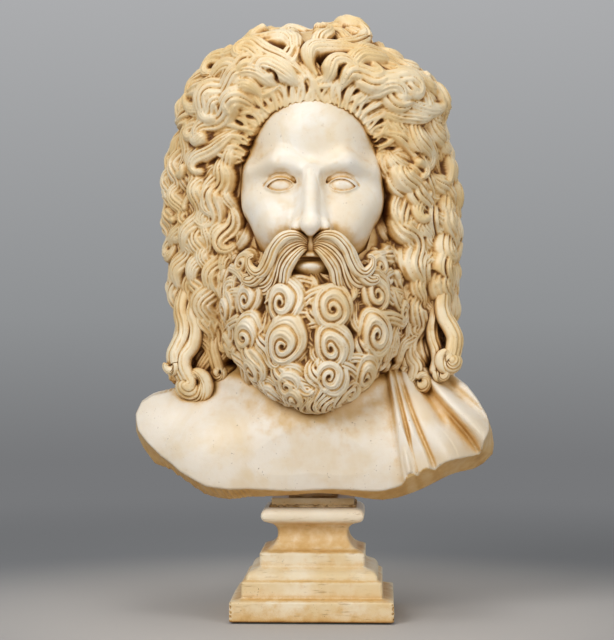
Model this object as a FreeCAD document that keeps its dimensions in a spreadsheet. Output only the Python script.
"""A bearded classical portrait bust, cast hollow in reconstituted marble and bolted to a moulded socle.

Millimetres. +Z is up, the face looks along -Y, and the origin is the centre of the felt under the socle.
Every size is a cell of the sheet "Sizes"; every piece is bound to those cells by expressions.
"""

import FreeCAD, Part
import os
import re

import Sketcher

V = FreeCAD.Vector

SIZES = {
    # felt and socle, from the bottom up
    "felt_thickness": 2,
    "felt_margin": 3,
    "plinth_width": 231,
    "plinth_height": 30,
    "step_width": 200,
    "step_height": 25,
    "ovolo_radius": 14,
    "ovolo_fillet": 4,
    "ovolo_width": 188,
    "foot_width": 150,
    "foot_height": 21,
    "scotia_low_radius": 25.5,
    "scotia_top_radius": 15.5,
    "torus_height": 21,
    "torus_width": 148,
    # block and mortar between the socle and the bust
    "block_width": 118,
    "block_depth": 96,
    "block_height": 11,
    "mortar_thickness": 2,
    # the rod through everything, and what clamps it
    "rod_diameter": 12,
    "rod_clearance": 0.8,
    "thread_clearance": 0.05,
    "rod_end": 6,
    "nut_across_flats": 19,
    "nut_height": 10,
    "washer_diameter": 37,
    "washer_thickness": 3,
    "well_diameter": 46,
    "well_depth": 24,
    # pillar and brace in the hollow back
    "pillar_width": 70,
    "pillar_chamfer": 8,
    "brace_width": 34,
    "brace_thickness": 18,
    "brace_height": 248,
    # casting walls
    "head_wall": 52,
    "rim_wall": 30,
    # head: skull and hair as one rounded mass
    "hair_width": 424,
    "hair_depth": 340,
    "hair_height": 456,
    "hair_centre": 642,
    "hair_back": 22,
    "seam_back": 66,
    "seam_height": 452,
    # face and neck
    "face_width": 224,
    "face_depth": 286,
    "face_height": 350,
    "face_centre": 600,
    "face_forward": 6,
    "window_width": 214,
    "window_depth": 190,
    "window_height": 322,
    "window_centre": 590,
    "window_forward": 168,
    "nose_width": 38,
    "nose_depth": 44,
    "nose_height": 88,
    "nose_centre": 578,
    "nose_forward": 148,
    "neck_width": 172,
    "neck_depth": 168,
    "neck_back": 12,
    "neck_low": 300,
    "neck_top": 520,
    "floor_height": 392,
    "floor_thickness": 34,
    "neck_bore": 124,
    "chamber_height": 130,
    # beard
    "beard_width": 262,
    "beard_depth": 184,
    "beard_height": 236,
    "beard_centre": 418,
    "beard_forward": 92,
    # the hair that hangs at each side and behind the neck
    "mane_width": 98,
    "mane_depth": 176,
    "mane_height": 352,
    "mane_spread": 162,
    "mane_centre": 500,
    "mane_back": 22,
    "nape_width": 290,
    "nape_depth": 110,
    "nape_height": 330,
    "nape_centre": 490,
    "nape_back": 112,
    # chest and shoulders
    "chest_width": 544,
    "chest_depth": 274,
    "chest_height": 296,
    "chest_centre": 226,
    "chest_back": 20,
    "shoulder_width": 150,
    "shoulder_depth": 116,
    "shoulder_height": 88,
    "shoulder_spread": 186,
    "shoulder_centre": 278,
    "shoulder_back": 18,
    "back_plane": 78,
    "hem_width": 526,
    "hem_radius": 133,
    "hem_height": 173,
    "hem_front": 92,
    "hem_edge": 190,
    "hem_slope": 36,
    # the cloth over the left shoulder
    "cloth_width": 176,
    "cloth_depth": 190,
    "cloth_height": 150,
    "cloth_spread": 175,
    "cloth_centre": 268,
    "cloth_forward": 2,
}

doc = FreeCAD.newDocument("Bust")
sheet = doc.addObject("Spreadsheet::Sheet", "Sizes")
for row, (alias, size) in enumerate(SIZES.items(), start=1):
    sheet.set(f"A{row}", alias)
    sheet.set(f"B{row}", str(size))
    sheet.setAlias(f"B{row}", alias)
doc.recompute()


def sized(text):
    """The expression in which every word of the sheet is written as the sheet's cell."""
    return re.sub("[a-z_]+", lambda m: f"Sizes.{m[0]}" if m[0] in SIZES else m[0], text)


def number(text):
    """The present value of an expression of the sheet's words, in millimetres."""
    return float(sheet.evalExpression(sized(text)))


def bind(obj, **expressions):
    """Binds each named property of obj to an expression of the sheet's words."""
    for name, text in expressions.items():
        obj.setExpression(name, sized(text))
    return obj


def place(obj, x="0", y="0", z="0"):
    """Binds the position of obj."""
    for axis, text in zip("xyz", (x, y, z)):
        obj.setExpression(f".Placement.Base.{axis}", sized(text))
    return obj


# Heights of the faces where one piece stands on the next.
SOCLE_BOTTOM = "felt_thickness"
PLINTH_TOP = f"{SOCLE_BOTTOM} + plinth_height"
STEP_TOP = f"{PLINTH_TOP} + step_height"
OVOLO_TOP = f"{STEP_TOP} + ovolo_fillet + ovolo_radius"
FOOT_TOP = f"{OVOLO_TOP} + foot_height"
WAIST = f"{FOOT_TOP} + scotia_low_radius"
TORUS_BOTTOM = f"{WAIST} + scotia_top_radius"
SOCLE_TOP = f"{TORUS_BOTTOM} + torus_height"
BLOCK_BOTTOM = f"{SOCLE_TOP} + mortar_thickness"
BLOCK_TOP = f"{BLOCK_BOTTOM} + block_height"
PILLAR_BOTTOM = f"{BLOCK_TOP} + mortar_thickness"
FLOOR_TOP = "floor_height + floor_thickness"
WELL_TOP = f"{SOCLE_BOTTOM} + well_depth"


def ellipsoid(name, centre, widths, inset="0"):
    """An ellipsoid of full widths (x, y, z) about a centre, with every radius cut by an inset."""
    made = doc.addObject("Part::Ellipsoid", name)
    across, deep, tall = widths
    bind(
        made,
        Radius1=f"( {tall} ) / 2 - ( {inset} )",
        Radius2=f"( {across} ) / 2 - ( {inset} )",
        Radius3=f"( {deep} ) / 2 - ( {inset} )",
    )
    made.Angle1 = -90
    return place(made, *centre)


def cylinder(name, radius, bottom, height, x="0", y="0"):
    made = doc.addObject("Part::Cylinder", name)
    bind(made, Radius=radius, Height=height)
    return place(made, x, y, bottom)


def block(name, across, deep, bottom, height, x="0", y="0"):
    """A box centred on (x, y) that stands on a height."""
    made = doc.addObject("Part::Box", name)
    bind(made, Length=across, Width=deep, Height=height)
    return place(made, f"{x} - ( {across} ) / 2", f"{y} - ( {deep} ) / 2", bottom)


def boolean(kind, name, base, tool):
    """One boolean of two shapes, its faces left as they fall."""
    made = doc.addObject(f"Part::{kind}", name)
    made.Base, made.Tool, made.Refine = base, tool, False
    return made


def chain(kind, name, first, *tools):
    """The same boolean with each tool in turn; the last result carries the name."""
    made = first
    for i, tool in enumerate(tools, start=1):
        made = boolean(kind, name if tool is tools[-1] else f"{name}_{i}", made, tool)
    return made


def fuse(name, *parts):
    return chain("Fuse", name, *parts)


def cut(name, base, *tools):
    return chain("Cut", name, base, *tools)


def common(name, base, tool):
    return boolean("Common", name, base, tool)


def origin_plane(body, role):
    return next(f for f in body.Origin.OriginFeatures if f.Role == role)


def outline(body, name, role, corners):
    """A closed sketch on one of the body's own planes.

    corners lists (x, y, arc) for each corner and the run from it to the next: arc is None for a
    straight run, or the run's (radius, centre x, centre y).
    """
    sketch = body.newObject("Sketcher::SketchObject", name)
    sketch.AttachmentSupport = [(origin_plane(body, role), "")]
    sketch.MapMode = "FlatFace"
    points = [V(number(x), number(y), 0) for x, y, _ in corners]
    count = len(corners)
    for i, (_, _, arc) in enumerate(corners):
        start, end = points[i], points[(i + 1) % count]
        if arc is None:
            sketch.addGeometry(Part.LineSegment(start, end), False)
        else:
            radius = number(arc[0])
            centre = V(number(arc[1]), number(arc[2]), 0)
            over = centre + ((start + end) / 2 - centre).normalize() * radius
            sketch.addGeometry(Part.Arc(start, over, end), False)
    ends = [end_names(sketch, i, points[i]) for i in range(count)]
    for i in range(count):
        j = (i + 1) % count
        sketch.addConstraint(Sketcher.Constraint("Coincident", i, ends[i][1], j, ends[j][0]))
    for i, (x, y, arc) in enumerate(corners):
        for kind, text in (("DistanceX", x), ("DistanceY", y)):
            at = sketch.addConstraint(
                Sketcher.Constraint(kind, -1, 1, i, ends[i][0], number(text))
            )
            sketch.setExpression(f"Constraints[{at}]", sized(text))
        if arc is not None:
            at = sketch.addConstraint(Sketcher.Constraint("Radius", i, number(arc[0])))
            sketch.setExpression(f"Constraints[{at}]", sized(arc[0]))
    doc.recompute()
    return sketch


def end_names(sketch, curve, start):
    """Which of a curve's ends, 1 or 2, lies at its start corner, and which at its end corner."""
    return (1, 2) if sketch.getPoint(curve, 1).distanceToPoint(start) < 1e-4 else (2, 1)


def square_outline(body, name, half):
    """A square sketch about the origin, on the body's own level plane."""
    signs = [("-1 *", "-1 *"), ("", "-1 *"), ("", ""), ("-1 *", "")]
    corners = [(f"{a} ( {half} )", f"{b} ( {half} )", None) for a, b in signs]
    return outline(body, name, "XY_Plane", corners)


def pad(body, sketch, length, midplane=False):
    made = body.newObject("PartDesign::Pad", f"{sketch.Name}_pad")
    made.Profile = sketch
    bind(made, Length=length)
    made.Midplane = midplane
    doc.recompute()
    return made


# ---------------------------------------------------------------- socle


def moulding_run(name, turn):
    """Half of the socle's section run straight across the plinth, mirrored, and turned about Z."""
    body = doc.addObject("PartDesign::Body", name)
    torus_lip = "torus_width / 2 - torus_height / 2"
    torus_middle = f"{TORUS_BOTTOM} + torus_height / 2"
    torus_arc = ("torus_height / 2", torus_lip, torus_middle)
    corners = [
        ("0", SOCLE_BOTTOM, None),
        ("plinth_width / 2", SOCLE_BOTTOM, None),
        ("plinth_width / 2", PLINTH_TOP, None),
        ("step_width / 2", PLINTH_TOP, None),
        ("step_width / 2", STEP_TOP, None),
        ("ovolo_width / 2", STEP_TOP, None),
        (
            "ovolo_width / 2",
            f"{STEP_TOP} + ovolo_fillet",
            ("ovolo_radius", "ovolo_width / 2 - ovolo_radius", f"{STEP_TOP} + ovolo_fillet"),
        ),
        ("ovolo_width / 2 - ovolo_radius", OVOLO_TOP, None),
        ("foot_width / 2", OVOLO_TOP, None),
        ("foot_width / 2", FOOT_TOP, ("scotia_low_radius", "foot_width / 2", WAIST)),
        (
            "foot_width / 2 - scotia_low_radius",
            WAIST,
            (
                "scotia_top_radius",
                "foot_width / 2 - scotia_low_radius + scotia_top_radius",
                WAIST,
            ),
        ),
        ("foot_width / 2 - scotia_low_radius + scotia_top_radius", TORUS_BOTTOM, None),
        (torus_lip, TORUS_BOTTOM, torus_arc),
        ("torus_width / 2", torus_middle, torus_arc),
        (torus_lip, SOCLE_TOP, None),
        ("0", SOCLE_TOP, None),
    ]
    section = outline(body, f"{name}_section", "XZ_Plane", corners)
    run = pad(body, section, "plinth_width", midplane=True)
    mirror = body.newObject("PartDesign::Mirrored", f"{name}_mirror")
    mirror.Originals = [run]
    mirror.MirrorPlane = (origin_plane(body, "YZ_Plane"), [""])
    body.Tip = mirror
    body.Placement.Rotation = FreeCAD.Rotation(V(0, 0, 1), turn)
    doc.recompute()
    return body


def make_socle():
    """Two runs of the moulding crossed, so that the corners are mitred, with a bore and a nut well."""
    crossed = common("socle_crossed", moulding_run("run_x", 0), moulding_run("run_y", 90))
    bore = cylinder(
        "socle_bore", "rod_diameter / 2 + rod_clearance", SOCLE_BOTTOM, f"{SOCLE_TOP} - {SOCLE_BOTTOM}"
    )
    well = cylinder("socle_well", "well_diameter / 2", SOCLE_BOTTOM, "well_depth")
    return cut("socle", crossed, bore, well)


def make_felt():
    """The felt sheet under the plinth, which also covers the nut's well."""
    body = doc.addObject("PartDesign::Body", "felt_base")
    square = square_outline(body, "felt_outline", "plinth_width / 2 - felt_margin")
    pad(body, square, "felt_thickness")
    return body


def make_block():
    """The low block that carries the bust clear of the socle's torus."""
    plain = block("block_plain", "block_width", "block_depth", BLOCK_BOTTOM, "block_height")
    bore = cylinder("block_bore", "rod_diameter / 2 + rod_clearance", BLOCK_BOTTOM, "block_height")
    return cut("neck_block", plain, bore)


def make_mortar(name, across, deep, bottom):
    """A thin bed of mortar with the rod's hole through it."""
    bed = block(f"{name}_plain", across, deep, bottom, "mortar_thickness")
    hole = cylinder(f"{name}_hole", "rod_diameter / 2 + rod_clearance", bottom, "mortar_thickness")
    return cut(name, bed, hole)


# ---------------------------------------------------------------- rod and fasteners

ROD_BOTTOM = f"{SOCLE_BOTTOM} + rod_end"
ROD_TOP = f"{FLOOR_TOP} + washer_thickness + nut_height + rod_end"


def make_rod():
    """The threaded rod, chamfered at both ends."""
    body = doc.addObject("PartDesign::Body", "tie_rod")
    sketch = body.newObject("Sketcher::SketchObject", "rod_circle")
    sketch.AttachmentSupport = [(origin_plane(body, "XY_Plane"), "")]
    sketch.MapMode = "FlatFace"
    sketch.addGeometry(Part.Circle(V(0, 0, 0), V(0, 0, 1), number("rod_diameter / 2")), False)
    sketch.addConstraint(Sketcher.Constraint("Coincident", 0, 3, -1, 1))
    at = sketch.addConstraint(Sketcher.Constraint("Radius", 0, number("rod_diameter / 2")))
    sketch.setExpression(f"Constraints[{at}]", sized("rod_diameter / 2"))
    shank = pad(body, sketch, f"{ROD_TOP} - ( {ROD_BOTTOM} )")
    ends = body.newObject("PartDesign::Chamfer", "rod_ends")
    ends.Base = (shank, [f"Edge{i + 1}" for i, e in enumerate(shank.Shape.Edges) if e.isClosed()])
    bind(ends, Size="rod_diameter / 10")
    place(body, z=ROD_BOTTOM)
    doc.recompute()
    return body


def make_washer(name, bottom):
    disc = cylinder(f"{name}_disc", "washer_diameter / 2", bottom, "washer_thickness")
    hole = cylinder(f"{name}_hole", "rod_diameter / 2 + rod_clearance / 2", bottom, "washer_thickness")
    return cut(name, disc, hole)


def make_nut(name, bottom):
    """A hexagon nut, the corners of its prism turned off by a chamfered blank."""
    prism = doc.addObject("Part::Prism", f"{name}_prism")
    prism.Polygon = 6
    bind(prism, Circumradius="nut_across_flats / sqrt(3)", Height="nut_height")
    place(prism, z=bottom)
    blank = cylinder(f"{name}_blank", "nut_across_flats / sqrt(3)", bottom, "nut_height")
    doc.recompute()
    turned = doc.addObject("Part::Chamfer", f"{name}_turned")
    turned.Base = blank
    rims = [i + 1 for i, e in enumerate(blank.Shape.Edges) if e.isClosed()]
    size = number("nut_across_flats / sqrt(3) - nut_across_flats / 2")
    turned.Edges = [(i, size, size) for i in rims]
    bore = cylinder(f"{name}_bore", "rod_diameter / 2 + thread_clearance", bottom, "nut_height")
    return cut(name, common(f"{name}_body", prism, turned), bore)


# ---------------------------------------------------------------- bust

HAIR = (("0", "hair_back", "hair_centre"), ("hair_width", "hair_depth", "hair_height"))
FACE = (("0", "-1 * face_forward", "face_centre"), ("face_width", "face_depth", "face_height"))
WINDOW = (
    ("0", "-1 * window_forward", "window_centre"),
    ("window_width", "window_depth", "window_height"),
)
NOSE = (("0", "-1 * nose_forward", "nose_centre"), ("nose_width", "nose_depth", "nose_height"))
BEARD = (("0", "-1 * beard_forward", "beard_centre"), ("beard_width", "beard_depth", "beard_height"))
NAPE = (("0", "nape_back", "nape_centre"), ("nape_width", "nape_depth", "nape_height"))
CHEST = (("0", "chest_back", "chest_centre"), ("chest_width", "chest_depth", "chest_height"))
CLOTH = (
    ("cloth_spread", "-1 * cloth_forward", "cloth_centre"),
    ("cloth_width", "cloth_depth", "cloth_height"),
)


def mane(side, name):
    centre = (f"{side} * mane_spread", "mane_back", "mane_centre")
    return ellipsoid(name, centre, ("mane_width", "mane_depth", "mane_height"))


def shoulder(side, name):
    centre = (f"{side} * shoulder_spread", "shoulder_back", "shoulder_centre")
    return ellipsoid(name, centre, ("shoulder_width", "shoulder_depth", "shoulder_height"))


def elliptic_neck():
    """The neck: an upright elliptic column from inside the chest to inside the head."""
    rim = doc.addObject("Part::Ellipse", "neck_rim")
    bind(rim, MajorRadius="neck_width / 2", MinorRadius="neck_depth / 2")
    place(rim, "0", "neck_back", "neck_low")
    column = doc.addObject("Part::Extrusion", "neck")
    column.Base = rim
    column.DirMode = "Custom"
    column.Dir = V(0, 0, 1)
    column.Solid = True
    bind(column, LengthFwd="neck_top - neck_low")
    return column


def bust_outline():
    """The front outline that trims the chest: a flat hem with a large arc up to each shoulder."""
    body = doc.addObject("PartDesign::Body", "bust_outline")
    half, inner = "hem_width / 2", "hem_width / 2 - hem_radius"
    turn = "hem_height + hem_radius"
    corners = [
        (f"-1 * ( {inner} )", "hem_height", None),
        (inner, "hem_height", ("hem_radius", inner, turn)),
        (half, turn, None),
        (half, "hair_centre", None),
        (f"-1 * ( {half} )", "hair_centre", None),
        (f"-1 * ( {half} )", turn, ("hem_radius", f"-1 * ( {inner} )", turn)),
    ]
    pad(body, outline(body, "bust_outline_sketch", "XZ_Plane", corners), "2 * hair_depth", midplane=True)
    return body


def hem_bevel():
    """The wedge cut away under the front edge of the chest."""
    made = doc.addObject("Part::Box", "hem_bevel")
    bind(made, Length="2 * chest_width", Width="chest_depth", Height="chest_depth")
    place(made, "-1 * chest_width", "-1 * hem_front", "hem_edge")
    made.Placement.Rotation = FreeCAD.Rotation(V(1, 0, 0), -1)
    made.setExpression(".Placement.Rotation.Angle", sized("90 + hem_slope"))
    return made


def make_pillar():
    """The square post that carries the neck's floor, its upright edges chamfered."""
    body = doc.addObject("PartDesign::Body", "support_pillar")
    square = square_outline(body, "pillar_outline", "pillar_width / 2")
    shaft = pad(body, square, f"floor_height - ( {PILLAR_BOTTOM} )")
    edges = body.newObject("PartDesign::Chamfer", "pillar_edges")
    upright = [
        f"Edge{i + 1}"
        for i, e in enumerate(shaft.Shape.Edges)
        if abs(e.Vertexes[0].Point.z - e.Vertexes[1].Point.z) > number("pillar_width")
    ]
    edges.Base = (shaft, upright)
    bind(edges, Size="pillar_chamfer")
    place(body, z=PILLAR_BOTTOM)
    doc.recompute()
    bore = cylinder(
        "pillar_bore",
        "rod_diameter / 2 + rod_clearance",
        PILLAR_BOTTOM,
        f"floor_height - ( {PILLAR_BOTTOM} )",
    )
    return cut("pillar", body, bore)


def make_brace():
    """The lath across the open back, its ends shaped to the inside of the chest."""
    bar = block(
        "brace_bar",
        "chest_width",
        "brace_thickness",
        "brace_height",
        "brace_width",
        y="pillar_width / 2 + brace_thickness / 2",
    )
    return common("shoulder_brace", bar, ellipsoid("brace_limit", *CHEST, inset="rim_wall"))


def make_torso():
    """The solid chest, shoulders and cloth, trimmed to the hem in front and flat behind."""
    rounded = fuse(
        "torso",
        ellipsoid("chest", *CHEST),
        ellipsoid("cloth", *CLOTH),
        shoulder(1, "shoulder_left"),
        shoulder(-1, "shoulder_right"),
    )
    behind = block(
        "behind_chest",
        "2 * chest_width",
        "chest_depth",
        "0",
        "hair_centre",
        y="back_plane + chest_depth / 2",
    )
    return cut("torso_cut", common("torso_trimmed", rounded, bust_outline()), hem_bevel(), behind)


def make_bust():
    """The head, neck and chest: (front casting, back casting), one solid each."""
    whole = fuse(
        "bust_whole",
        make_torso(),
        elliptic_neck(),
        ellipsoid("nape", *NAPE),
        mane(-1, "mane_right"),
        mane(1, "mane_left"),
        ellipsoid("beard", *BEARD),
        ellipsoid("face", *FACE),
        cut("hair_open", ellipsoid("hair", *HAIR), ellipsoid("window", *WINDOW)),
        ellipsoid("nose", *NOSE),
    )
    hollow = cut(
        "bust_hollow",
        whole,
        ellipsoid("chest_hollow", *CHEST, inset="rim_wall"),
        common(
            "head_hollow",
            ellipsoid("head_hollow_round", *HAIR, inset="head_wall"),
            block("above_floor", "hair_width", "2 * hair_depth", FLOOR_TOP, "2 * hair_height"),
        ),
        cylinder("nut_chamber", "neck_bore / 2", FLOOR_TOP, "chamber_height", y="neck_back / 2"),
        cylinder(
            "neck_hollow",
            "neck_bore / 2",
            "chest_centre",
            "floor_height - chest_centre",
            y="neck_back / 2",
        ),
        cylinder("floor_bore", "rod_diameter / 2 + rod_clearance", "floor_height", "floor_thickness"),
    )
    back_half = block(
        "back_half",
        "2 * hair_width",
        "hair_depth",
        "seam_height",
        "hair_height",
        y="seam_back + hair_depth / 2",
    )
    return cut("front_casting", hollow, back_half), common("back_casting", hollow, back_half)


def main():
    nodes = {
        "felt_base": make_felt(),
        "socle": make_socle(),
        "block_mortar": make_mortar("block_mortar", "block_width", "block_depth", SOCLE_TOP),
        "neck_block": make_block(),
        "pillar_mortar": make_mortar("pillar_mortar", "pillar_width", "pillar_width", BLOCK_TOP),
        "support_pillar": make_pillar(),
        "shoulder_brace": make_brace(),
        "tie_rod": make_rod(),
        "base_washer": make_washer("base_washer", f"{WELL_TOP} - washer_thickness"),
        "base_nut": make_nut("base_nut", f"{WELL_TOP} - washer_thickness - nut_height"),
        "top_washer": make_washer("top_washer", FLOOR_TOP),
        "top_nut": make_nut("top_nut", f"{FLOOR_TOP} + washer_thickness"),
    }
    nodes["front_casting"], nodes["back_casting"] = make_bust()
    doc.recompute()
    return nodes


def checked(nodes):
    """Stops if any object of the document failed, or any piece is empty or invalid."""
    for obj in doc.Objects:
        if "Invalid" in obj.State or "Error" in obj.State:
            raise RuntimeError(f"{obj.Name} failed: {obj.State}")
    for name, obj in nodes.items():
        obj.Label = name
        shape = obj.Shape
        if shape.isNull() or not shape.isValid() or not shape.Solids:
            raise RuntimeError(f"{name} is not a valid solid")
        print(f"{name}: {len(shape.Solids)} solid(s), {shape.Volume / 1000:.1f} cm3, {shape.BoundBox}")


nodes = main()
checked(nodes)
os.makedirs("parts", exist_ok=True)
for name, obj in nodes.items():
    obj.Shape.exportStep(f"parts/{name}.step")
